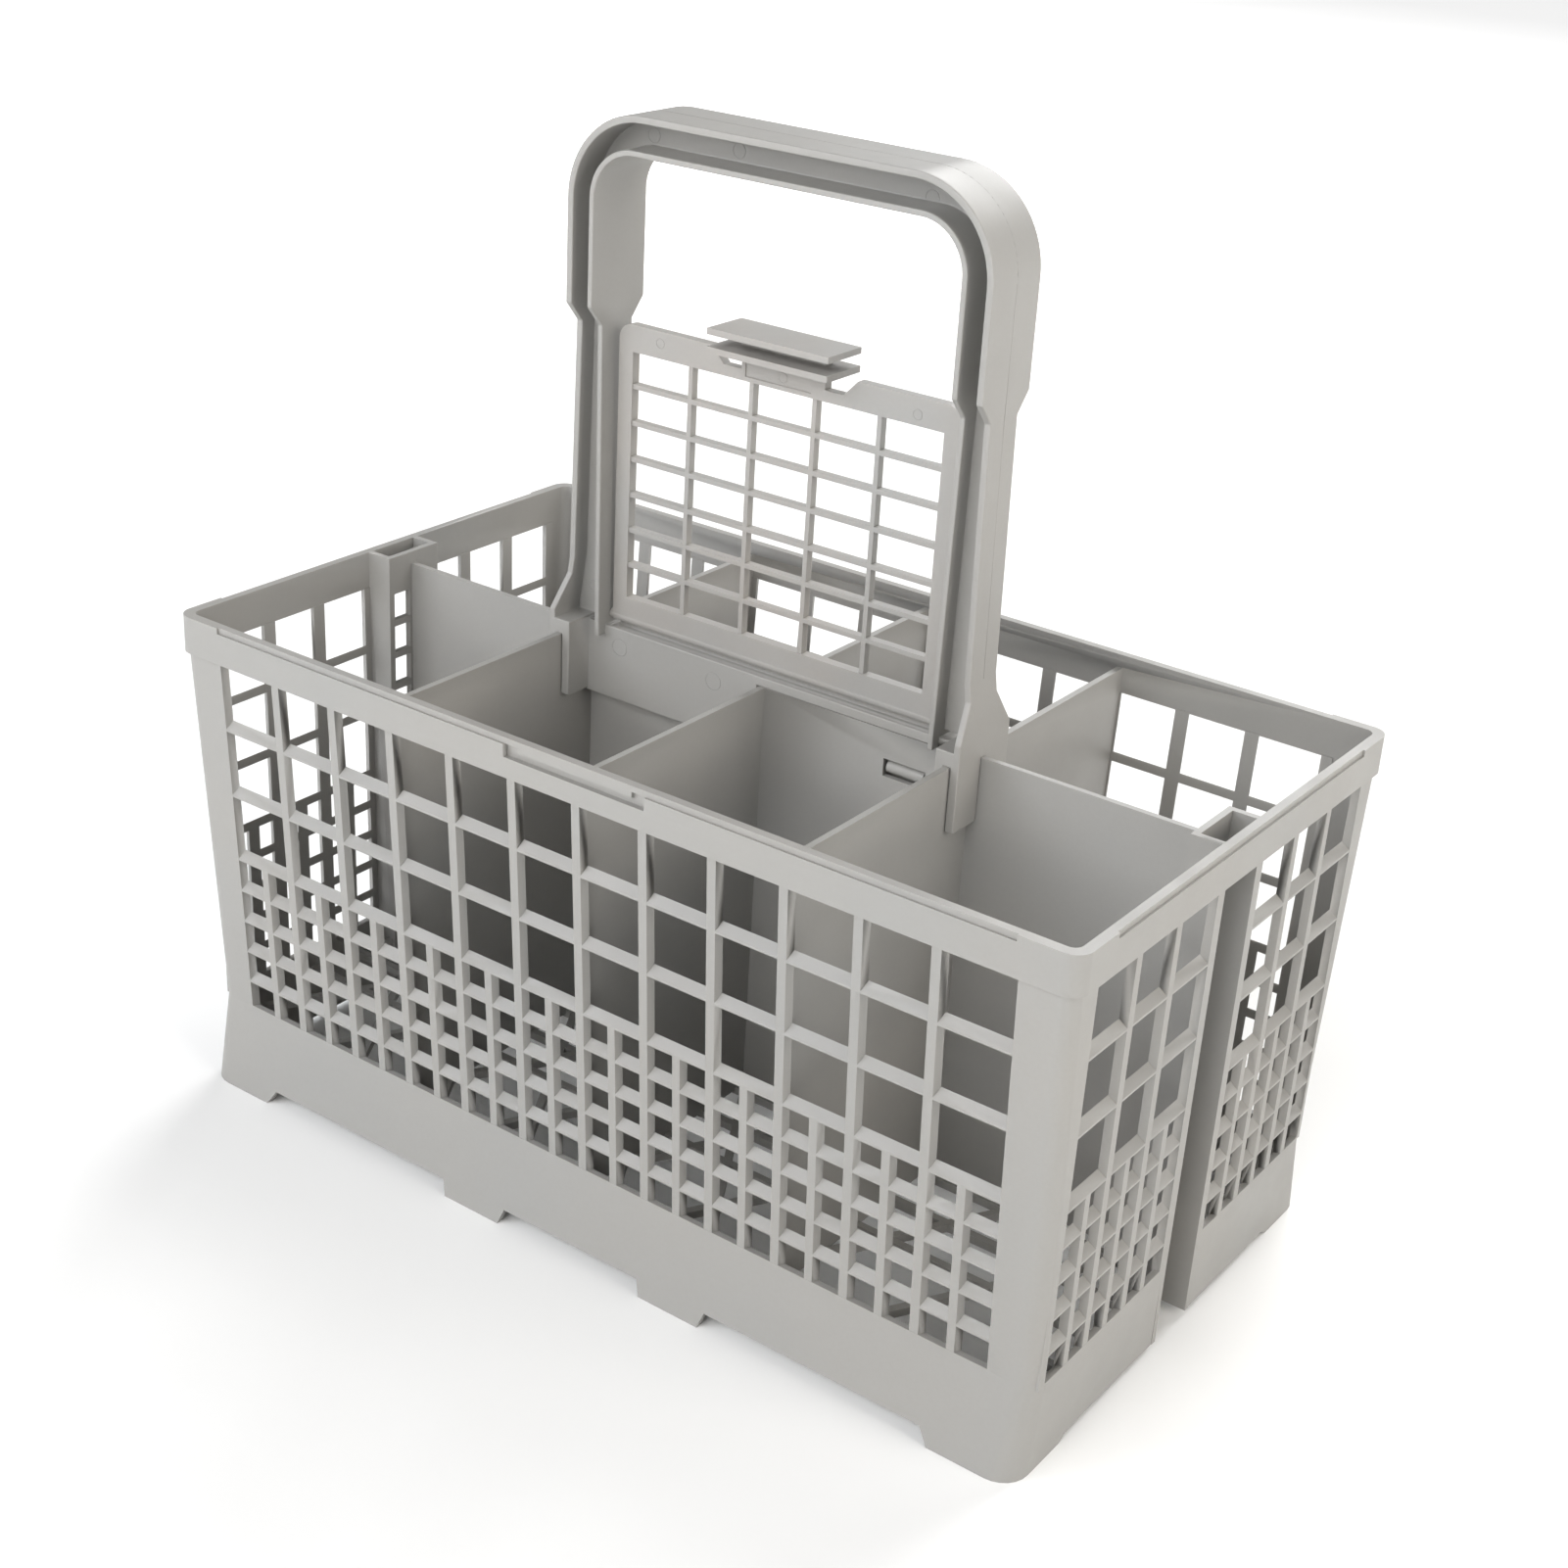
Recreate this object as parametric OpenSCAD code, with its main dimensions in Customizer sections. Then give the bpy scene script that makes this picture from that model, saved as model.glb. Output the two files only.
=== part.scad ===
// Dishwasher basket with a carrying handle and a hinged grille lid.
// The origin is the middle of the footprint at the standing surface. X runs along the basket,
// the front faces -Y and Z points up. All sizes are in millimetres.

/* [Basket body] */
// Length over the rim
rim_l = 240; // [200:1:280]
// Width over the rim
rim_w = 135; // [120:1:160]
// Height of the rim's lower edge above the standing surface
rim_z = 115; // [100:1:130]
// Height of the rim band
rim_h = 9; // [8:0.5:12]
// How far the rim stands out of the wall
rim_out = 1; // [0.6:0.1:2]
// Wall thickness of the moulding
wall = 1.5; // [1.2:0.1:2]
// Height of the crease where the skirt starts to flare
crease_z = 21.5; // [18:0.5:26]
// How far each long wall leans in from the rim to the crease
long_lean = 4.95; // [2:0.05:7]
// How far each end wall leans in from the rim to the foot
end_lean = 0.9; // [0.2:0.1:2]
// How far each long side of the skirt flares out below the crease
skirt_flare = 5.1; // [2:0.1:7]

/* [Corners] */
// Outer radius of the rim corners
rim_r = 4; // [2:0.5:6]
// Outer corner radius of the wall below the rim
wall_r = 3; // [2:0.5:4]
// Outer corner radius at the crease
crease_r = 4.5; // [2.5:0.5:6]
// Outer corner radius at the foot
foot_r = 6.5; // [4:0.5:8]

/* [Rim details] */
// Height of the lip that steps in at the top of the rim
lip_h = 1.4; // [0.8:0.1:2]
// How far the lip steps in
lip_step = 0.5; // [0.3:0.1:0.7]
// Plain rim left at each corner on the long sides
lip_end = 13.7; // [8:0.1:20]
// Plain rim left at each corner on the short sides
lip_side = 13.5; // [8:0.1:20]
// Half the length of the latch recess in the front rim
recess_hx = 19; // [14:0.5:26]
// Height of the latch recess
recess_h = 2.9; // [2:0.1:4]
// Depth of the latch recess
recess_d = 1.4; // [0.8:0.1:1.6]
// Length of each open pocket at the ends of the recess
pocket_l = 3.7; // [2:0.1:6]
// Height of the ridge between the pockets
ridge_h = 1.2; // [0.8:0.1:1.6]

/* [Wall grilles] */
// Columns of large windows in a long wall
long_cols = 12; // [6:1:14]
// Columns of large windows in each half of an end wall
end_cols = 3; // [2:1:4]
// Rows of large windows
big_rows = 3; // [1:1:4]
// Rows of small windows
small_rows = 5; // [2:1:7]
// Solid wall between a corner and the long grille
long_margin = 12.1; // [8:0.1:20]
// Solid wall between a corner and an end grille
end_margin = 8.64; // [6:0.1:14]
// Solid wall between an end grille and the channel
channel_margin = 2.86; // [2:0.1:5]
// Width of a main rib on the outer face
rib_w = 2.2; // [1.6:0.1:3]
// Width of a thin rib between small windows
thin_rib_w = 2; // [1.4:0.1:2.6]
// How much a rib grows on each side towards the inside
rib_draft = 0.7; // [0.2:0.05:1]
// Height of a crossbar on the outer face
bar_h = 0.5; // [0.4:0.1:1]
// Rise of the sloping sill on top of a crossbar
sill_rise = 1.9; // [1:0.1:2.4]
// Depth of ribs and crossbars
grille_d = 1.8; // [1.6:0.1:2.2]
// Grille set back from the wall's outer face
grille_set = 0.05; // [0.04:0.01:0.1]
// Gap between the rim's lower edge and the top row
field_top_gap = 0.3; // [0.2:0.1:2]
// Wall left between the bottom row and the crease
field_foot_gap = 0.5; // [0.3:0.1:2]

/* [End channels] */
// Half the width of the channel in each end
channel_hw = 7; // [5:0.5:9]
// Depth of the channel behind the end wall's outer face
channel_d = 7; // [5:0.5:10]
// Thickness of the channel walls
channel_wall = 1.5; // [1.2:0.1:2]
// Width of the small windows in the channel wall
channel_win_w = 5.3; // [3:0.1:6]
// Gap between the centre divider and the windows beside it
channel_win_gap = 0.8; // [0.5:0.1:1.5]
// Crossbar between the windows in the channel wall
channel_bar = 1.7; // [1.2:0.1:2.4]

/* [Dividers and floor] */
// Distance from the middle to the outer cross dividers
divider_x = 54; // [50:0.5:60]
// Thickness of the cross dividers
divider_t = 1.5; // [1.2:0.1:2]
// Thickness of the lengthwise dividers
long_divider_t = 1.4; // [1.2:0.1:2]
// Drop of the divider tops below the rim top
divider_drop = 3.1; // [2:0.1:5]
// How far the middle dividers sit off the centre line
divider_off = 2.1; // [1.9:0.1:3]
// Height of the floor's underside
floor_z = 15; // [10:0.5:17]
// Thickness of the floor lattice
floor_t = 2; // [1.5:0.1:3]
// Pitch of the floor bars
floor_pitch = 13.5; // [10:0.5:18]
// Width of the floor bars
floor_bar_w = 1.8; // [1.4:0.1:3]

/* [Feet] */
// Height of the feet on the long sides
foot_h = 3.8; // [2:0.1:6]
// Height of the step beside the feet on the short sides
end_foot_h = 1.6; // [1:0.1:3]
// Length of a corner foot along the long side
corner_foot_l = 22.5; // [15:0.5:35]
// Length of a corner foot along the short side
end_foot_l = 18.5; // [12:0.5:30]
// Distance from the middle to a mid foot
mid_foot_x = 29.25; // [24:0.25:40]
// Length of a mid foot
mid_foot_l = 16.5; // [10:0.5:20]
// Slope of the foot ends
foot_slope = 2.5; // [1:0.1:4]

/* [Handle] */
// Overall height of the handle top above the standing surface
handle_top = 242; // [225:1:260]
// Half the width over the grip
grip_hx = 54.2; // [50:0.1:54.5]
// Outer radius of the grip corners
grip_r = 20; // [15:1:24]
// Depth of the I-section at the posts
section_x = 7.4; // [6:0.1:9]
// Depth of the I-section along the top
section_z = 8.7; // [7:0.1:11]
// Inner radius of the grip corners
grip_in_r = 10.5; // [8:0.5:14]
// Thickness of the outer flange
outer_flange_t = 1.6; // [1.2:0.1:2]
// Thickness of the inner flange
inner_flange_t = 1.3; // [1.1:0.1:1.8]
// Thickness of the web
web_t = 1.5; // [1.2:0.1:2]
// Half the width of the grip flanges
grip_hw = 9; // [7:0.5:12]
// Half the width of the post flanges
post_hw = 5.2; // [4:0.1:6.5]
// Height where the post flanges start to widen into the grip
grip_start = 194.5; // [175:0.5:205]
// Length of the slope from post to grip
grip_slope = 4.5; // [3:0.5:10]
// How far each post's outer face splays out just above the foot
post_splay = 1; // [0.4:0.1:1.6]
// How much the inner faces of the posts close in at the foot
post_close = 0.9; // [0:0.1:1.2]

/* [Handle foot] */
// Distance from the middle to the outer face of a foot
lug_out = 57; // [56.8:0.1:60]
// Distance from the middle to the inner face of a foot
lug_in = 50.9; // [49.6:0.1:51.3]
// Half the width of a foot
lug_hw = 9.9; // [8:0.1:13]
// Depth of a foot below the divider top
lug_drop = 15; // [10:0.5:20]
// Height of the ledge above the divider top
lug_ledge = 3.5; // [2.6:0.1:5]
// Height of the flare above the ledge
flare_h = 10; // [6:0.5:14]
// Height of the crossbeam above the divider top
beam_h = 2.3; // [1.8:0.1:3]
// Half the width of the crossbeam
beam_hw = 2.7; // [2.6:0.05:3.2]
// Depth of the groove along the beam
groove_d = 1; // [0.5:0.1:1.2]
// Half the width of the groove
groove_hw = 1.7; // [1:0.1:1.9]
// Thickness of the skirt plates under the beam
skirt_t = 1.4; // [1.2:0.1:1.6]
// Depth of the skirt plates below the divider top
skirt_drop = 15.7; // [10:0.1:20]
// Clearance between the handle and the dividers
fit_gap = 0.15; // [0.1:0.01:0.3]

/* [Snap hooks] */
// Distance from the middle to the hook's middle
hook_x = 39.2; // [30:0.1:42]
// Length of the hook
hook_l = 9.5; // [6:0.1:12]
// Radius of the rounded hook
hook_r = 1.4; // [1.2:0.1:1.45]
// Depth of the hook axis below the divider top
hook_drop = 8.9; // [6:0.1:12]
// Clearance round the hook in its window
hook_gap = 0.7; // [0.4:0.1:1.5]
// Thickness of the spring tongue
tongue_t = 1.2; // [1:0.1:1.4]

/* [Lid] */
// Half the width of the lid
lid_hw = 45; // [42:0.1:45.2]
// Thickness of the lid
lid_t = 2.4; // [2:0.1:2.6]
// Height of the hinge axis above the divider top
hinge_up = 4.7; // [4.4:0.1:6]
// Length of the lid from the hinge axis to its top edge
lid_len = 69.5; // [60:0.5:72]
// Width of the side frames
lid_side = 3.9; // [3:0.1:6]
// Width of the top frame
lid_head = 6.1; // [5.5:0.1:8]
// Distance from the hinge axis to the first window
lid_foot = 5.4; // [4:0.1:8]
// Columns of lid windows
lid_cols = 5; // [3:1:7]
// Rows of lid windows
lid_rows = 7; // [4:1:9]
// Width of the lid bars
lid_bar = 1.1; // [0.8:0.1:1.8]
// Depth of the lid bars
lid_bar_d = 2; // [1.4:0.1:2]
// Radius of the top corners
lid_r = 3.5; // [2:0.5:5]
// Radius of the hinge barrel along the lower edge
barrel_r = 1.35; // [1.2:0.05:1.5]
// Radius of the hinge pins
pin_r = 1.2; // [1:0.05:1.3]
// Running fit of the pins
pin_gap = 0.05; // [0.02:0.01:0.1]
// Length of the pins beyond the lid's sides
pin_l = 2; // [1.6:0.1:2.1]

/* [Lid catch] */
// Half the length of the catch plates
catch_hx = 15.8; // [12:0.1:18]
// Reach of the catch plates towards the front
catch_front = 7.7; // [6:0.1:9]
// Reach of the catch plates towards the back
catch_back = 4.4; // [3:0.1:6]
// Thickness of the catch plates
catch_t = 1.4; // [1.2:0.1:2]
// Gap between the two plates
catch_gap = 2.6; // [2:0.1:4]
// Half the length of the web that carries the plates
catch_web = 11; // [8:0.1:11.5]
// Depth of the notches beside the web
notch_d = 3.6; // [2:0.1:4.2]
// Half the width over the notches at their floor
notch_hx = 15.8; // [13:0.1:18]
// Slope of the notch ends
notch_slope = 3.4; // [1:0.1:5]
// Depth of the shallow panel in the web
panel_d = 0.3; // [0.2:0.1:0.5]

/* [Hidden] */
$fn = 48;
eps = 0.02;

// Levels and half sizes that follow from the values above
rim_top = rim_z + rim_h;
long_y = rim_w / 2 - rim_out;
end_x = rim_l / 2 - rim_out;
crease_y = long_y - long_lean;
foot_y = crease_y + skirt_flare;
crease_x = end_x - end_lean * (rim_z - crease_z) / rim_z;
foot_x = end_x - end_lean;
divider_top = rim_top - divider_drop;
hinge_z = divider_top + hinge_up;
field_top = rim_z - field_top_gap;
field_foot = crease_z + field_foot_gap;
field_x = end_x - long_margin;
end_field_out = long_y - end_margin;
end_field_in = channel_hw + channel_margin;
units = 2 * big_rows + small_rows;
row = (field_top - field_foot + bar_h + sill_rise - 0.5) / units;
long_angle = atan(long_lean / (rim_z - crease_z));
end_angle = atan(end_lean / rim_z);
channel_x = end_x - channel_d;

// Half width of the outer face of a long wall at height z
function long_face(z) = z > rim_z ? long_y :
    z > crease_z ? long_y - long_lean * (rim_z - z) / (rim_z - crease_z) :
    foot_y - skirt_flare * z / crease_z;

// A rectangle with round corners
module round_outline(hx, hy, r) {
    square([2 * hx - 2 * r, 2 * hy], center = true);
    square([2 * hx, 2 * hy - 2 * r], center = true);
    for (sx = [-1, 1], sy = [-1, 1])
        translate([sx * (hx - r), sy * (hy - r)])
            circle(r, $fn = 24);
}

// A flat slab with round corners
module slab(hx, hy, r, h) {
    linear_extrude(h)
        union()
            round_outline(hx, hy, r);
}

// The tapered wall and the flared skirt as closed solids, moved in by t
module wall_block(t, top, foot) {
    hull() {
        translate([0, 0, top - eps])
            slab(end_x - t, long_y - t, wall_r - t * 0.6, eps);
        translate([0, 0, crease_z])
            slab(crease_x - t, crease_y - t, crease_r - t * 0.8, eps);
    }
    hull() {
        translate([0, 0, crease_z])
            slab(crease_x - t, crease_y - t, crease_r - t * 0.8, eps);
        translate([0, 0, foot])
            slab(foot_x - t, foot_y - t, foot_r - t, eps);
    }
}

// The rim band with its stepped lip and the latch recess
module rim_band() {
    difference() {
        translate([0, 0, rim_z])
            slab(rim_l / 2, rim_w / 2, rim_r, rim_h);
        for (s = [-1, 1]) {
            translate([0, s * rim_w / 2, rim_top])
                cube([rim_l - 2 * lip_end, 2 * lip_step, 2 * lip_h], center = true);
            translate([s * rim_l / 2, 0, rim_top])
                cube([2 * lip_step, rim_w - 2 * lip_side, 2 * lip_h], center = true);
        }
        latch_recess();
    }
}

module latch_recess() {
    z0 = rim_top - lip_h - recess_h;
    z1 = rim_top - lip_h;
    face = -rim_w / 2;
    for (s = [-1, 1])
        translate([s * (recess_hx - pocket_l / 2), face, (z0 + z1) / 2])
            cube([pocket_l, 2 * recess_d, z1 - z0], center = true);
    translate([-recess_hx + pocket_l / 2, 0, 0])
        rotate([90, 0, 90])
            linear_extrude(2 * recess_hx - pocket_l)
                polygon([[face - 1, z0], [face + recess_d, z0], [face + recess_d, z1 - ridge_h - 0.4],
                    [face + lip_step, z1 - ridge_h], [face + lip_step, z1 + eps], [face - 1, z1 + eps]]);
}

// Section of a vertical rib, wider inside than outside
module rib_section(w) {
    polygon([[-w / 2, grille_set], [w / 2, grille_set],
        [w / 2 + rib_draft, grille_d], [-w / 2 - rib_draft, grille_d]]);
}

// Half rib that gives the side of the field the same slope
module side_section() {
    polygon([[-2, 0.3], [0, 0.3], [rib_draft, grille_d], [-2, grille_d]]);
}

// Section of a crossbar whose lower edge lies at height h
module bar_section(h) {
    polygon([[grille_set, h], [grille_d, h], [grille_d, h + bar_h + sill_rise], [grille_set, h + bar_h]]);
}

// One grille field from x0 to x1 on a panel whose outer face is y = 0 and whose top edge is z = 0
module grille(x0, x1, cols, drop) {
    step = (x1 - x0) / cols;
    thin_top = -field_top_gap - 2 * big_rows * row;
    translate([0, 0, -drop - 1])
        linear_extrude(drop + 1 - field_top_gap + 0.2)
            union() {
                for (i = [1 : cols - 1])
                    translate([x0 + i * step, 0])
                        rib_section(rib_w);
                translate([x0, 0])
                    side_section();
                translate([x1, 0])
                    mirror([1, 0])
                        side_section();
            }
    translate([0, 0, -drop - 1])
        linear_extrude(drop + 1 + thin_top + bar_h)
            for (i = [0 : cols - 1])
                translate([x0 + (i + 0.5) * step, 0])
                    rib_section(thin_rib_w);
    translate([x0 - 0.5, 0, 0])
        rotate([90, 0, 90])
            linear_extrude(x1 - x0 + 1)
                union() {
                    for (k = [1 : big_rows])
                        bar_section(-field_top_gap - 2 * k * row);
                    for (k = [1 : small_rows - 1])
                        bar_section(thin_top - k * row);
                }
}

// Places a panel on the front wall, on its true lean
module on_front() {
    translate([0, -long_y, rim_z])
        rotate([long_angle, 0, 0])
            children();
}

// Places a panel on the right end wall
module on_end() {
    rotate([0, 0, 90])
        translate([0, -end_x, rim_z])
            rotate([end_angle, 0, 0])
                children();
}

module wall_grilles() {
    drop = rim_z - field_foot;
    for (a = [0, 180])
        rotate([0, 0, a]) {
            on_front()
                grille(-field_x, field_x, long_cols, drop);
            on_end()
                grille(end_field_in, end_field_out, end_cols, drop);
            on_end()
                grille(-end_field_out, -end_field_in, end_cols, drop);
        }
}

// Holes through the shell where the grilles sit
module field_cuts() {
    h = field_top - field_foot;
    translate([0, 0, field_foot + h / 2])
        cube([2 * field_x, rim_w + 20, h], center = true);
    for (s = [-1, 1])
        translate([0, s * (end_field_in + end_field_out) / 2, field_foot + h / 2])
            cube([rim_l + 20, end_field_out - end_field_in, h], center = true);
}

// The cross dividers, the lengthwise dividers and their windows for the snap hooks
module dividers() {
    base = floor_z + floor_t / 2;
    half = function (z) long_face(z) - wall / 2;
    for (x = [-divider_x, 0, divider_x])
        translate([x - divider_t / 2, 0, 0])
            rotate([90, 0, 90])
                linear_extrude(divider_t)
                    polygon([[-half(base), base], [half(base), base], [half(crease_z), crease_z],
                        [half(rim_z), rim_z], [half(rim_z), divider_top], [-half(rim_z), divider_top],
                        [-half(rim_z), rim_z], [-half(crease_z), crease_z]]);
    for (a = [0, 180])
        rotate([0, 0, a]) {
            translate([divider_x, -long_divider_t / 2, base])
                cube([channel_x - channel_wall / 2 - divider_x, long_divider_t, divider_top - base]);
            difference() {
                translate([0, -divider_off - long_divider_t / 2, base])
                    cube([divider_x, long_divider_t, divider_top - base]);
                translate([hook_x, -divider_off, divider_top - hook_drop])
                    cube([hook_l + 2 * hook_gap, 2 * long_divider_t, 2 * hook_r + 2 * hook_gap], center = true);
            }
        }
}

// The walls of the channel in the right end, closed towards the inside
module channel_box() {
    outer_x = end_x - wall / 2;
    translate([channel_x - channel_wall, -channel_hw - channel_wall, 0])
        difference() {
            cube([outer_x - channel_x + channel_wall, 2 * (channel_hw + channel_wall), rim_top]);
            translate([channel_wall, channel_wall, -1])
                cube([channel_d + 5, 2 * channel_hw, rim_top + 2]);
        }
}

module channel_windows() {
    rows = floor((rim_z - floor_z - 6) / row);
    for (s = [-1, 1], k = [0 : rows - 1])
        translate([channel_x - channel_wall / 2,
            s * (long_divider_t / 2 + channel_win_gap + channel_win_w / 2),
            rim_z - 0.7 - k * row - (row - channel_bar) / 2])
            cube([2 * channel_wall, channel_win_w, row - channel_bar], center = true);
}

// The channel is open outwards below the rim, upwards inside the rim and through the foot
module channel_cut() {
    translate([channel_x, -channel_hw, -1])
        cube([channel_d + 10, 2 * channel_hw, rim_z + 1]);
    translate([channel_x, -channel_hw, -1])
        cube([end_x - wall - channel_x, 2 * channel_hw, rim_top + 2]);
}

// Open lattice floor with straight bars along X and slanting bars between them
module floor_lattice() {
    hx = crease_x - wall / 2;
    hy = long_face(floor_z) - wall / 2;
    translate([0, 0, floor_z])
        linear_extrude(floor_t)
            intersection() {
                union()
                    round_outline(hx, hy, crease_r);
                union() {
                    for (s = [-1, 1], k = [0 : floor(hy / floor_pitch)])
                        translate([0, s * (5 + k * floor_pitch)])
                            square([2 * hx, floor_bar_w], center = true);
                    for (k = [-floor(hx / floor_pitch / 2) : floor(hx / floor_pitch / 2)], m = [-1, 1])
                        translate([2 * k * floor_pitch, 0])
                            rotate(m * 30)
                                square([floor_bar_w, 3 * hy], center = true);
                }
            }
}

// Lower edge of the skirt cut back between the feet
module foot_cuts() {
    x1 = end_x + rim_out - corner_foot_l - foot_slope;
    m0 = mid_foot_x - mid_foot_l / 2;
    m1 = mid_foot_x + mid_foot_l / 2;
    translate([0, rim_w / 2 + 10, 0])
        rotate([90, 0, 0])
            linear_extrude(rim_w + 20) {
                polygon([[-m0, -1], [m0, -1], [m0, 0], [m0 - foot_slope / 2, foot_h],
                    [-m0 + foot_slope / 2, foot_h], [-m0, 0]]);
                for (s = [0, 1])
                    mirror([s, 0])
                        polygon([[m1, -1], [x1 + foot_slope, -1], [x1 + foot_slope, 0], [x1, foot_h],
                            [m1 + foot_slope / 2, foot_h], [m1, 0]]);
            }
    y1 = foot_y - end_foot_l;
    for (s = [-1, 1])
        translate([s > 0 ? channel_x - 3 : -channel_x - 17, 0, 0])
            rotate([90, 0, 90])
                linear_extrude(20)
                    polygon([[-y1, -1], [y1, -1], [y1, 0], [y1 - foot_slope, end_foot_h],
                        [-y1 + foot_slope, end_foot_h], [-y1, 0]]);
}

// The one-piece basket moulding
module basket() {
    color("#c9c8c4")
        difference() {
            union() {
                difference() {
                    union() {
                        wall_block(0, rim_z + 0.5, 0);
                        rim_band();
                    }
                    wall_block(wall, rim_z + 0.5, -1);
                    translate([0, 0, rim_z])
                        slab(end_x - wall, long_y - wall, wall_r - wall * 0.6, rim_h + 1);
                    field_cuts();
                }
                wall_grilles();
                dividers();
                floor_lattice();
                for (a = [0, 180])
                    rotate([0, 0, a])
                        channel_box();
            }
            for (a = [0, 180])
                rotate([0, 0, a]) {
                    channel_cut();
                    channel_windows();
                }
            foot_cuts();
        }
}

// Outline of the arch in the XZ plane: d moves it in from the outer face
module arch_outline(hx, splay_out, foot_out, top, r) {
    ledge = divider_top + lug_ledge;
    union() {
        polygon([[-foot_out, ledge], [foot_out, ledge], [foot_out, ledge + 2],
            [hx + splay_out, ledge + flare_h + 4], [hx, grip_start], [hx, top - r],
            [-hx, top - r], [-hx, grip_start], [-hx - splay_out, ledge + flare_h + 4], [-foot_out, ledge + 2]]);
        translate([-hx + r, top - r - 1])
            square([2 * hx - 2 * r, r + 1]);
        for (s = [-1, 1])
            translate([s * (hx - r), top - r])
                circle(r);
    }
}

// Side view of the flanges: post, slope and grip widths, with a flared foot of half width f
module flange_width(f) {
    ledge = divider_top + lug_ledge;
    rotate([90, 0, 90])
        translate([0, 0, -rim_l / 2])
            linear_extrude(rim_l)
                polygon([[-f, divider_top], [f, divider_top], [f, ledge + 2], [post_hw, ledge + flare_h],
                    [post_hw, grip_start], [grip_hw, grip_start + grip_slope], [grip_hw, handle_top + 5],
                    [-grip_hw, handle_top + 5], [-grip_hw, grip_start + grip_slope], [-post_hw, grip_start],
                    [-post_hw, ledge + flare_h], [-f, ledge + 2]]);
}

module across(w) {
    translate([0, w / 2, 0])
        rotate([90, 0, 0])
            linear_extrude(w)
                children();
}

module outer_shape(d) {
    arch_outline(grip_hx - d, post_splay, lug_out - d, handle_top - d, grip_r - d);
}

// Inner outline of the arch, moved out by d, down to the beam
module inner_shape(d) {
    hx = grip_hx - section_x + d;
    top = handle_top - section_z + d;
    r = grip_in_r + d;
    union() {
        polygon([[-hx + post_close, divider_top], [hx - post_close, divider_top], [hx, grip_start],
            [hx, top - r], [-hx, top - r], [-hx, grip_start]]);
        translate([-hx + r, top - r - 1])
            square([2 * hx - 2 * r, r + 1]);
        for (s = [-1, 1])
            translate([s * (hx - r), top - r])
                circle(r);
    }
}

// A foot that straddles the dividers, open downwards
module foot_lug() {
    z0 = divider_top - lug_drop;
    slot = divider_t / 2 + fit_gap;
    long_slot = long_divider_t / 2 + fit_gap;
    difference() {
        translate([0, lug_hw, 0])
            rotate([90, 0, 0])
                linear_extrude(2 * lug_hw)
                    polygon([[lug_in, z0], [divider_x, z0 + 0], [lug_out, z0], [lug_out, divider_top + lug_ledge],
                        [lug_in, divider_top + lug_ledge]]);
        translate([divider_x - slot, -lug_hw - 1, z0 - 1])
            cube([2 * slot, 2 * lug_hw + 2, divider_top - z0 + 1]);
        translate([divider_x, -long_slot, z0 - 1])
            cube([lug_out, 2 * long_slot, divider_top - z0 + 1]);
        translate([lug_in - 1, -divider_off - long_slot, z0 - 1])
            cube([divider_x - lug_in + 1, 2 * long_slot, divider_top - z0 + 1]);
    }
}

// Crossbeam, skirt plates and spring hooks of one half; the other half is turned by 180 degrees
module beam_half() {
    half_long = long_divider_t / 2;
    tongue_y = -divider_off + half_long + fit_gap;
    hook_z = divider_top - hook_drop;
    translate([0, -beam_hw, divider_top])
        cube([lug_in + 1, 2 * beam_hw, beam_h]);
    translate([divider_t / 2 + 0.75, beam_hw - skirt_t, divider_top - skirt_drop])
        cube([lug_in + 0.5 - divider_t / 2 - 0.75, skirt_t, skirt_drop + 1]);
    translate([hook_x - hook_l / 2, tongue_y, hook_z - hook_r])
        cube([hook_l, tongue_t, hook_drop + hook_r + 1]);
    translate([hook_x - hook_l / 2, tongue_y, hook_z])
        rotate([0, 90, 0])
            cylinder(h = hook_l, r = hook_r);
}

// The snap-in handle, one moulding
module handle() {
    color("#bdbcb8")
        difference() {
            union() {
                across(web_t)
                    difference() {
                        outer_shape(0.5);
                        inner_shape(0.5);
                    }
                intersection() {
                    across(2 * lug_hw + 2)
                        difference() {
                            outer_shape(0);
                            outer_shape(outer_flange_t);
                        }
                    flange_width(lug_hw);
                }
                intersection() {
                    across(2 * grip_hw + 2)
                        difference() {
                            inner_shape(inner_flange_t);
                            inner_shape(0);
                        }
                    flange_width(post_hw);
                }
                for (a = [0, 180])
                    rotate([0, 0, a]) {
                        foot_lug();
                        beam_half();
                    }
            }
            translate([-lid_hw, -groove_hw, divider_top + beam_h - groove_d])
                cube([2 * lid_hw, 2 * groove_hw, groove_d + 1]);
            translate([-lid_hw - pin_l - 0.2, 0, hinge_z])
                rotate([0, 90, 0])
                    cylinder(h = 2 * (lid_hw + pin_l + 0.2), r = pin_r + pin_gap);
        }
}

// The lid's flat outline with its notches, drawn upright with the hinge axis at the origin
module lid_outline() {
    n0 = lid_len - notch_d;
    difference() {
        union() {
            translate([-lid_hw, 0])
                square([2 * lid_hw, lid_len - lid_r]);
            translate([-lid_hw + lid_r, 0])
                square([2 * lid_hw - 2 * lid_r, lid_len]);
            for (s = [-1, 1])
                translate([s * (lid_hw - lid_r), lid_len - lid_r])
                    circle(lid_r);
        }
        for (s = [0, 1])
            mirror([s, 0])
                polygon([[catch_web, n0], [notch_hx, n0], [notch_hx + notch_slope, lid_len + 0.01],
                    [notch_hx + notch_slope, lid_len + 1], [catch_web, lid_len + 1]]);
    }
}

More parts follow.
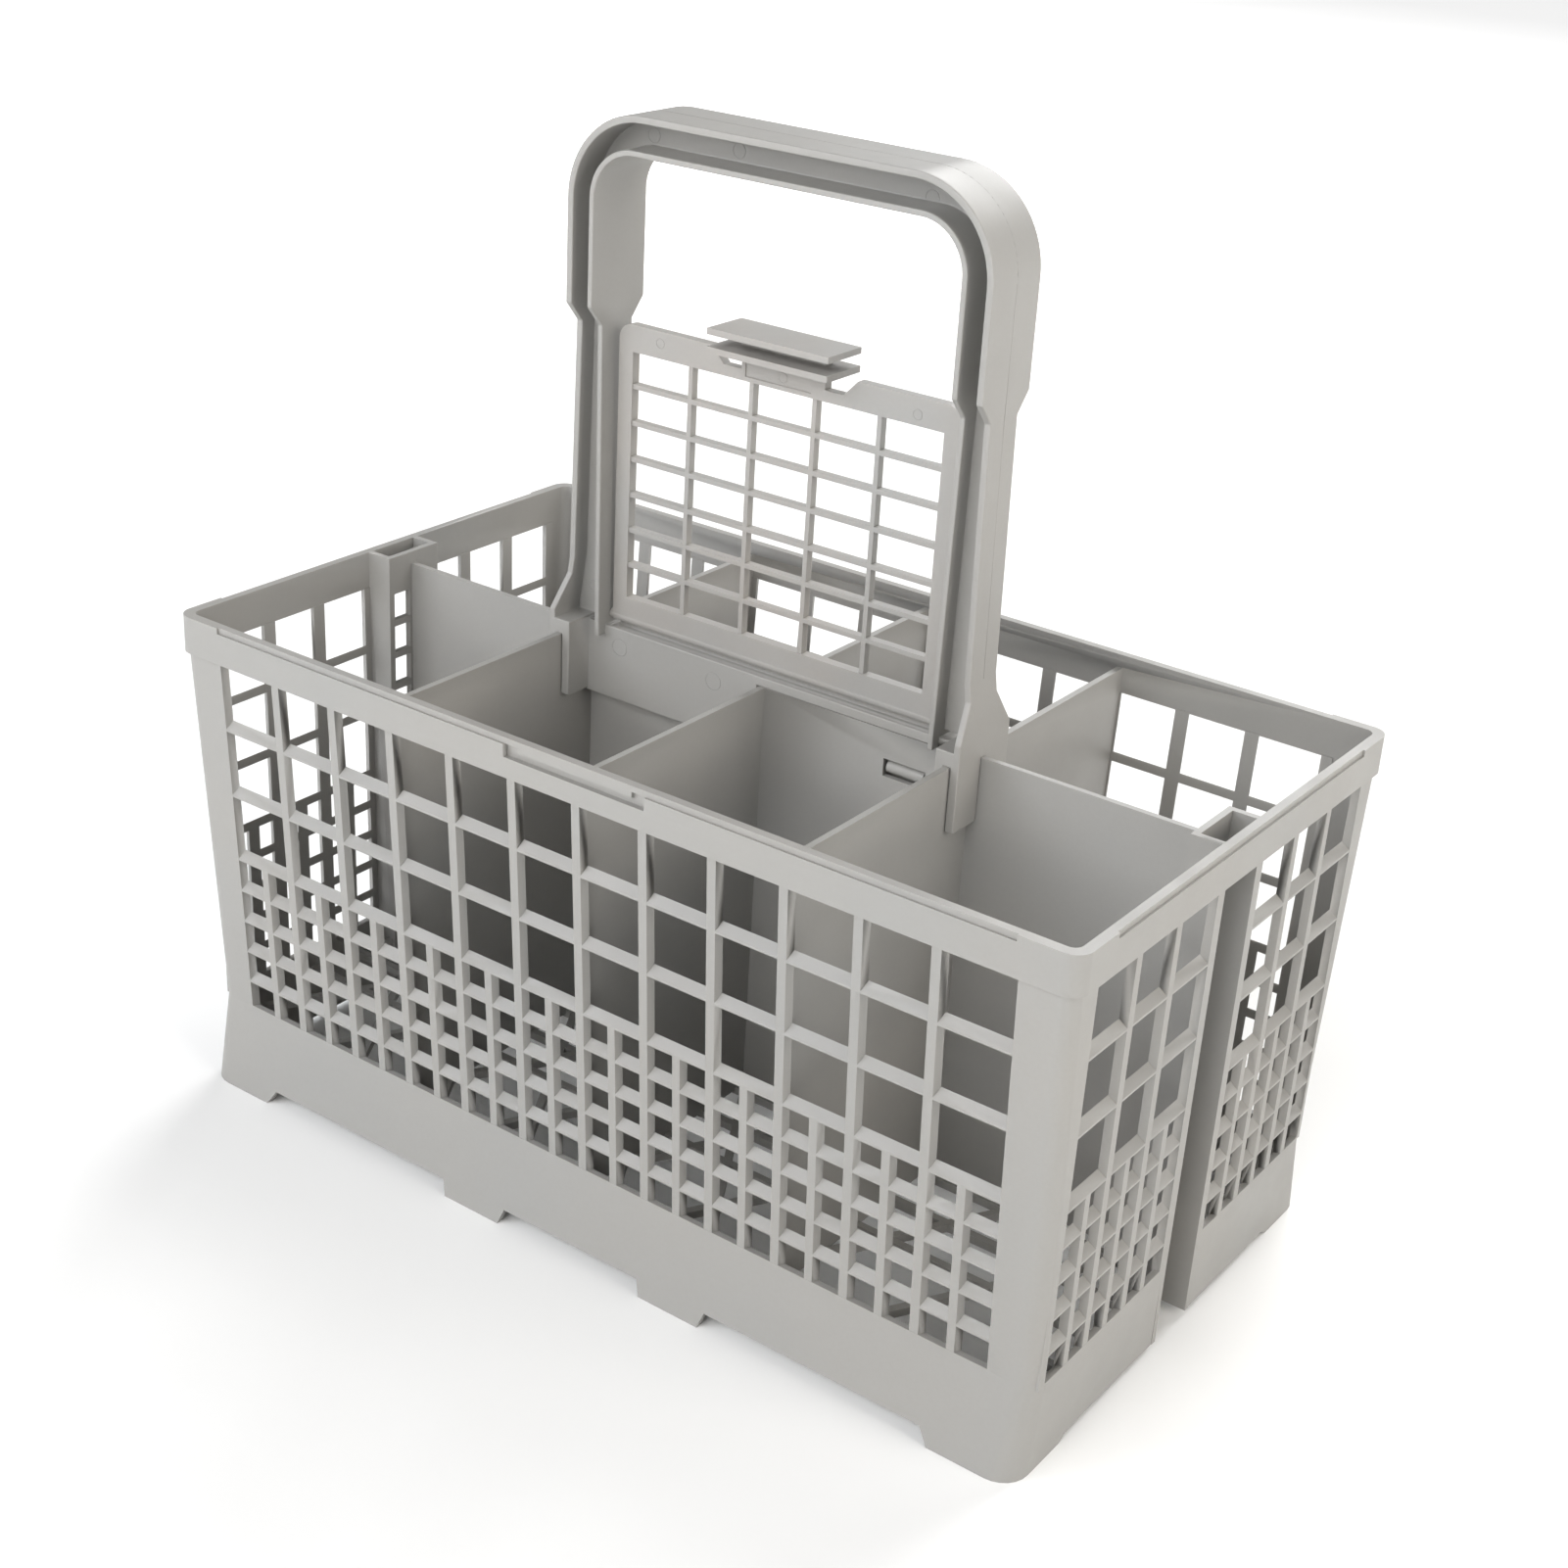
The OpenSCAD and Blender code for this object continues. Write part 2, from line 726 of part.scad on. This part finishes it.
// The hinged grille lid, standing upright between the posts
module lid() {
    wx = (2 * lid_hw - 2 * lid_side - (lid_cols - 1) * lid_bar) / lid_cols;
    wz = (lid_len - lid_head - lid_foot - (lid_rows - 1) * lid_bar) / lid_rows;
    plate_z = lid_len + 0.2;
    color("#cfcec9")
        translate([0, 0, hinge_z]) {
            difference() {
                union() {
                    difference() {
                        across(lid_t)
                            lid_outline();
                        translate([-lid_hw + lid_side, -lid_t, lid_foot])
                            cube([2 * (lid_hw - lid_side), 2 * lid_t, lid_len - lid_head - lid_foot]);
                        translate([-catch_web + 1, -lid_t / 2 - 1, lid_len - notch_d - 1.5])
                            cube([2 * catch_web - 4.5, 1 + panel_d, notch_d + 0.7]);
                    }
                    translate([0, (lid_t - lid_bar_d) / 2 - 0.1, 0])
                        across(lid_bar_d)
                            for (i = [1 : lid_cols - 1])
                                translate([-lid_hw + lid_side + i * wx + (i - 1) * lid_bar, lid_foot - 0.5])
                                    square([lid_bar, lid_len - lid_head - lid_foot + 1]);
                    translate([0, (lid_t - lid_bar_d) / 2 - 0.1, 0])
                        across(lid_bar_d)
                            for (k = [1 : lid_rows - 1])
                                translate([-lid_hw + lid_side - 0.5, lid_foot + k * wz + (k - 1) * lid_bar])
                                    square([2 * (lid_hw - lid_side) + 1, lid_bar]);
                }
            }
            translate([-lid_hw, 0, 0])
                rotate([0, 90, 0])
                    cylinder(h = 2 * lid_hw, r = barrel_r);
            translate([-lid_hw - pin_l, 0, 0])
                rotate([0, 90, 0])
                    cylinder(h = 2 * (lid_hw + pin_l), r = pin_r);
            for (z = [plate_z, plate_z + catch_t + catch_gap])
                translate([-catch_hx, -catch_front, z])
                    cube([2 * catch_hx, catch_front + catch_back, catch_t]);
            translate([-catch_web, -lid_t / 2, lid_len - 0.5])
                cube([2 * catch_web, lid_t, plate_z - lid_len + 1]);
            translate([-catch_web, -lid_t / 2, plate_z + catch_t - 0.5])
                cube([2 * catch_web, lid_t, catch_gap + 1]);
        }
}

basket();
handle();
lid();
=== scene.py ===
"""Looks for the dishwasher basket: softened mouldings, moulding marks, grey polypropylene, studio light."""
import math

import bmesh
import bpy
from mathutils import Matrix, Vector


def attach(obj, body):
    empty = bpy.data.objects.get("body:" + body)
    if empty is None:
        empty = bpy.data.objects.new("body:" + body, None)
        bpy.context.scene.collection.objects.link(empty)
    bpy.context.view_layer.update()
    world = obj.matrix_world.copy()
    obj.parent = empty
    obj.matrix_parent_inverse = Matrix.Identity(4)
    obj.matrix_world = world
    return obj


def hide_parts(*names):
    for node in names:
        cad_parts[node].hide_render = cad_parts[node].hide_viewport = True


MM = 0.001

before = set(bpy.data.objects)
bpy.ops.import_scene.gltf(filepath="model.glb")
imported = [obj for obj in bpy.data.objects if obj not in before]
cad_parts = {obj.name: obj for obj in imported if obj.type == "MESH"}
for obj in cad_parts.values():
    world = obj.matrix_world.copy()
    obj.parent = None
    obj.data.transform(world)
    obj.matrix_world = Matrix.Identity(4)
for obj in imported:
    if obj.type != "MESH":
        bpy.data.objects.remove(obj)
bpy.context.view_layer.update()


# Camera: the photograph's viewpoint, three quarters from the right front and about 25 degrees up

CAMERA_AT = Vector((0.28966, -0.40664, 0.33338))
CAMERA_RIGHT = Vector((0.80378, 0.59247, 0.05393))
CAMERA_BACK = Vector((0.51708, -0.74057, 0.42918))
SENSOR_MM = 36.0
LENS_MM = 55.28


def set_camera():
    """Places the camera; the picture is square, so the sensor's long side is its width."""
    data = bpy.data.cameras.new("camera")
    data.sensor_width = SENSOR_MM
    data.lens = LENS_MM
    data.clip_start = 0.01
    camera = bpy.data.objects.new("camera", data)
    bpy.context.scene.collection.objects.link(camera)
    back = CAMERA_BACK.normalized()
    up = back.cross(CAMERA_RIGHT).normalized()
    right = up.cross(back)
    turn = Matrix((right, up, back)).transposed()
    camera.matrix_world = Matrix.Translation(CAMERA_AT) @ turn.to_4x4()
    bpy.context.scene.camera = camera


set_camera()


# Materials

def linear(colour):
    """Turns an sRGB hex colour into linear red, green, blue and full alpha."""
    parts = [int(colour[i:i + 2], 16) / 255 for i in (1, 3, 5)]
    return [p / 12.92 if p <= 0.04045 else ((p + 0.055) / 1.055) ** 2.4 for p in parts] + [1.0]


def add(tree, kind, settings=None, links=None):
    """Adds a node, sets its properties and unlinked sockets, and links the named sockets."""
    node = tree.nodes.new(kind)
    for name, value in (settings or {}).items():
        if isinstance(name, str) and hasattr(node, name):
            setattr(node, name, value)
        else:
            node.inputs[name].default_value = value
    for name, source in (links or {}).items():
        tree.links.new(source, node.inputs[name])
    return node


def per_metre(size_mm):
    """Noise scale that gives features of about this size."""
    return 1000.0 / size_mm


def polypropylene(name, tone, warm_tone, gloss, cloud_mm):
    """Injection-moulded grey polypropylene.

    The resin is satin and slightly see-through, so its tone drifts a little over the part, and the
    eroded mould gives it a fine even grain.
    """
    material = bpy.data.materials.new(name)
    material.use_nodes = True
    tree = material.node_tree
    tree.nodes.clear()
    where = add(tree, "ShaderNodeTexCoord").outputs["Object"]
    cloud = add(tree, "ShaderNodeTexNoise", {"Scale": per_metre(cloud_mm), "Detail": 2.0, "Roughness": 0.4},
                {"Vector": where})
    drift = add(tree, "ShaderNodeMapRange", {"From Min": 0.35, "From Max": 0.65}, {"Value": cloud.outputs["Fac"]})
    colour = add(tree, "ShaderNodeMix", {"data_type": "RGBA", 6: linear(tone), 7: linear(warm_tone)},
                 {0: drift.outputs["Result"]})
    # Speckle of the masterbatch, finer than a millimetre, drawn a little coarse so that it shows
    speck = add(tree, "ShaderNodeTexNoise", {"Scale": per_metre(0.9), "Detail": 3.0}, {"Vector": where})
    speck_range = add(tree, "ShaderNodeMapRange", {"To Min": 0.975, "To Max": 1.025}, {"Value": speck.outputs["Fac"]})
    tinted = add(tree, "ShaderNodeHueSaturation", links={
        "Color": colour.outputs[2], "Value": speck_range.outputs["Result"]})
    # Satin sheen that varies where the mould was polished or rubbed
    rub = add(tree, "ShaderNodeTexNoise", {"Scale": per_metre(14), "Detail": 4.0}, {"Vector": where})
    rough = add(tree, "ShaderNodeMapRange", {"From Min": 0.3, "From Max": 0.7, "To Min": gloss, "To Max": gloss + 0.12},
                {"Value": rub.outputs["Fac"]})
    # Spark-eroded grain, really about 0.1 mm, drawn at 0.45 mm so that it shows
    grain = add(tree, "ShaderNodeTexNoise", {"Scale": per_metre(0.45), "Detail": 2.0}, {"Vector": where})
    sink = add(tree, "ShaderNodeTexNoise", {"Scale": per_metre(22), "Detail": 1.0}, {"Vector": where})
    fine = add(tree, "ShaderNodeBump", {"Strength": 0.25, "Distance": 0.03 * MM}, {"Height": grain.outputs["Fac"]})
    waves = add(tree, "ShaderNodeBump", {"Strength": 0.5, "Distance": 0.35 * MM},
                {"Height": sink.outputs["Fac"], "Normal": fine.outputs["Normal"]})
    shader = add(tree, "ShaderNodeBsdfPrincipled", {
        "IOR": 1.49, "Subsurface Weight": 0.12, "Subsurface Scale": 2.5 * MM,
        "Subsurface Radius": (1.0, 0.95, 0.85)}, {
        "Base Color": tinted.outputs["Color"], "Roughness": rough.outputs["Result"],
        "Normal": waves.outputs["Normal"]})
    add(tree, "ShaderNodeOutputMaterial", links={"Surface": shader.outputs["BSDF"]})
    return material


basket_plastic = polypropylene("basket polypropylene", "#949390", "#969490", 0.42, 60)
handle_plastic = polypropylene("handle polypropylene", "#93928f", "#95938f", 0.4, 50)
lid_plastic = polypropylene("lid polypropylene", "#959491", "#999590", 0.4, 40)


# Softened copies of the mouldings

def rounded_moulding(name, node, body, radius_mm, plastic):
    """Copies a CAD node, merges its flat faces and rounds its corners a little, as a mould leaves them.

    An edge that meets a very short one stays sharp, so that no rounding runs over its neighbour.
    """
    shape = bmesh.new()
    shape.from_mesh(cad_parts[node].data)
    bmesh.ops.remove_doubles(shape, verts=shape.verts, dist=0.06 * MM)
    bmesh.ops.dissolve_limit(shape, angle_limit=math.radians(0.6), verts=shape.verts, edges=shape.edges)
    shortest = 2.3 * radius_mm * MM
    tight = {e for e in shape.edges if e.calc_length() < shortest}
    corners = [e for e in shape.edges if e.calc_face_angle(0) > math.radians(28)]
    free = [e for e in corners if not any(o in tight for v in e.verts for o in v.link_edges)]
    for edge in corners:
        edge.smooth = False
    rounded = bmesh.ops.bevel(shape, geom=free, offset=radius_mm * MM, offset_type="OFFSET", affect="EDGES",
                              segments=2, profile=0.5, material=-1, clamp_overlap=True)
    for face in shape.faces:
        face.smooth = True
    for face in rounded["faces"]:
        for edge in face.edges:
            edge.smooth = True
    mesh = bpy.data.meshes.new(name)
    shape.to_mesh(mesh)
    shape.free()
    piece = bpy.data.objects.new(name, mesh)
    bpy.context.scene.collection.objects.link(piece)
    piece.data.materials.append(plastic)
    even = piece.modifiers.new("even flat faces", "WEIGHTED_NORMAL")
    even.weight = 100
    even.keep_sharp = True
    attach(piece, body)
    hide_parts(node)
    return piece


rounded_moulding("basket_moulding", "basket", "basket", 0.25, basket_plastic)
rounded_moulding("handle_moulding", "handle", "basket", 0.3, handle_plastic)
rounded_moulding("lid_moulding", "lid", "lid", 0.2, lid_plastic)

for node_name, plastic in {"basket": basket_plastic, "handle": handle_plastic, "lid": lid_plastic}.items():
    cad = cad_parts[node_name]
    cad.data.materials.clear()
    cad.data.materials.append(plastic)


# Marks that the mould leaves

# Ejector pins leave faint rings on faces that look along Y: the middle and the radius in mm
HANDLE_RINGS = (
    ((-14.6, -0.75, 237.0), 1.6),
    ((-37.3, -0.75, 236.7), 1.6),
    ((33.5, -0.75, 235.3), 1.6),
    ((-50.8, -0.75, 159.8), 1.2),
    ((-51.5, -0.75, 130.9), 1.2),
    ((-50.8, -0.75, 188.0), 1.2),
    ((52.5, -0.75, 149.6), 1.2),
    ((-41.5, -2.7, 118.6), 2.1),
    ((-13.8, -2.7, 118.2), 2.1),
    ((41.5, 2.7, 118.6), 2.1),
    ((13.8, 2.7, 118.2), 2.1),
)
LID_RINGS = (
    ((-33.5, -1.2, 192.4), 1.1),
    ((34.4, -1.2, 191.4), 1.1),
    ((-0.2, -0.9, 191.7), 1.1),
)
RING_LINE = 0.1


def ejector_rings(name, rings, body, plastic):
    """Raised hairline rings, half sunk in the face they lie on."""
    shape = bmesh.new()
    for middle, radius in rings:
        line = bmesh.ops.create_circle(shape, segments=6, radius=RING_LINE * MM)["verts"]
        bmesh.ops.translate(shape, verts=line, vec=(radius * MM, 0, 0))
        edges = list({e for v in line for e in v.link_edges})
        others = set(shape.verts) - set(line)
        bmesh.ops.spin(shape, geom=line + edges, cent=(0, 0, 0), axis=(0, 1, 0), dvec=(0, 0, 0),
                       angle=math.radians(360), steps=32, use_merge=True, use_duplicate=False)
        ring = [v for v in shape.verts if v not in others]
        bmesh.ops.translate(shape, verts=ring, vec=Vector(middle) * MM)
    bmesh.ops.recalc_face_normals(shape, faces=shape.faces)
    return add_piece(name, shape, body, plastic)


def add_piece(name, shape, body, plastic):
    """Makes a smooth object of a finished bmesh and gives it its body and material."""
    mesh = bpy.data.meshes.new(name)
    shape.to_mesh(mesh)
    shape.free()
    mesh.shade_smooth()
    piece = bpy.data.objects.new(name, mesh)
    bpy.context.scene.collection.objects.link(piece)
    piece.data.materials.append(plastic)
    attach(piece, body)
    return piece


ejector_rings("handle_ejector_rings", HANDLE_RINGS, "basket", handle_plastic)
ejector_rings("lid_ejector_rings", LID_RINGS, "lid", lid_plastic)


# The mould halves meet along the middle of the handle's outer flange and leave a hairline there,
# which stands 0.05 mm proud of the flange
GRIP_HALF, GRIP_TOP, GRIP_RADIUS = 54.15, 241.95, 20.0
SPLAY, POST_FOOT, GRIP_FOOT = 1.0, 138.4, 194.5
LINE_RADIUS = 0.1
ARC_STEPS = 16


def arch_points():
    """Points in mm along the right half of the arch's outer face, from the foot to the middle of the top."""
    points = [(GRIP_HALF + SPLAY, POST_FOOT), (GRIP_HALF, GRIP_FOOT)]
    for i in range(ARC_STEPS + 1):
        turn = math.radians(90) * i / ARC_STEPS
        points.append((GRIP_HALF - GRIP_RADIUS + GRIP_RADIUS * math.cos(turn),
                       GRIP_TOP - GRIP_RADIUS + GRIP_RADIUS * math.sin(turn)))
    return points


def parting_line(name, path, body, plastic):
    """A hairline ridge along a path, half sunk in the surface."""
    shape = bmesh.new()
    for start, end in zip(path, path[1:]):
        span = end - start
        rod = bmesh.ops.create_cone(shape, cap_ends=True, segments=6, radius1=LINE_RADIUS * MM,
                                    radius2=LINE_RADIUS * MM, depth=span.length)["verts"]
        turn = span.to_track_quat("Z", "Y").to_matrix()
        bmesh.ops.rotate(shape, verts=rod, cent=(0, 0, 0), matrix=turn)
        bmesh.ops.translate(shape, verts=rod, vec=(start + end) / 2)
    return add_piece(name, shape, body, plastic)


half_arch = [Vector((x * MM, 0, z * MM)) for x, z in arch_points()]
whole_arch = half_arch + [Vector((-p.x, p.y, p.z)) for p in reversed(half_arch)]
parting_line("handle_parting_line", whole_arch, "basket", handle_plastic)


# Stage and light

def set_stage():
    """A white paper floor with painted light: it glows more with distance from the object, so that it stays pale to the
    horizon, and does not glow close by, where only the lamps light it.
    """
    bm = bmesh.new()
    bmesh.ops.create_circle(bm, cap_ends=True, segments=64, radius=7)
    mesh = bpy.data.meshes.new("floor")
    bm.to_mesh(mesh)
    bm.free()
    floor = bpy.data.objects.new("floor", mesh)
    bpy.context.scene.collection.objects.link(floor)
    paper = bpy.data.materials.new("white paper")
    paper.use_nodes = True
    tree = paper.node_tree
    where = add(tree, "ShaderNodeTexCoord").outputs["Object"]
    far = add(tree, "ShaderNodeVectorMath", {"operation": "LENGTH"}, {0: where})
    # Painted light: the floor's glow rises from nothing within 0.35 m of the object to 0.75 at 1.6 m
    painted_floor_glow = add(tree, "ShaderNodeMapRange", {
        "interpolation_type": "SMOOTHSTEP", "From Min": 0.35, "From Max": 1.6, "To Max": 0.75},
        {"Value": far.outputs["Value"]})
    shader = tree.nodes["Principled BSDF"]
    shader.inputs["Base Color"].default_value = linear("#f4f4f3")
    shader.inputs["Roughness"].default_value = 0.9
    shader.inputs["Emission Color"].default_value = linear("#ffffff")
    tree.links.new(painted_floor_glow.outputs["Result"], shader.inputs["Emission Strength"])
    floor.data.materials.append(paper)


def soft_box(name, at, size, watts, colour="#ffffff"):
    """An area light aimed at the middle of the object."""
    data = bpy.data.lights.new(name, "AREA")
    data.shape = "RECTANGLE"
    data.size, data.size_y = size
    data.energy = watts
    data.color = linear(colour)[:3]
    lamp = bpy.data.objects.new(name, data)
    lamp.location = at
    aim = Vector((0, 0, 0.1)) - Vector(at)
    lamp.rotation_euler = aim.to_track_quat("-Z", "Y").to_euler()
    bpy.context.scene.collection.objects.link(lamp)


def set_surround():
    """A surround that is white near the horizon and dark overhead, as in a studio."""
    world = bpy.data.worlds.new("surround")
    world.use_nodes = True
    tree = world.node_tree
    direction = add(tree, "ShaderNodeTexCoord").outputs["Generated"]
    height = add(tree, "ShaderNodeSeparateXYZ", links={"Vector": direction})
    level = add(tree, "ShaderNodeMapRange", {
        "interpolation_type": "SMOOTHSTEP", "From Min": 0.1, "From Max": 0.35, "To Min": 0.85, "To Max": 0.05},
        {"Value": height.outputs["Z"]})
    sky = tree.nodes["Background"]
    sky.inputs["Color"].default_value = linear("#ffffff")
    tree.links.new(level.outputs["Result"], sky.inputs["Strength"])
    bpy.context.scene.world = world


def set_light():
    """Soft boxes at the front left, the right and behind, with small fill from above."""
    soft_box("front left", (-0.8, -1.0, 0.75), (0.8, 0.8), 11.4, "#f6f9ff")
    soft_box("right", (1.4, 0.0, 0.7), (0.9, 0.9), 12.2, "#fffaf3")
    soft_box("front", (0.1, -1.2, 0.8), (0.9, 0.8), 12.2)
    soft_box("right high", (1.1, 0.2, 1.2), (0.9, 0.9), 3)
    soft_box("behind", (-0.1, 1.4, 1.2), (1.4, 0.9), 32)
    set_surround()
    bpy.context.scene.view_settings.view_transform = "Standard"


set_stage()
set_light()
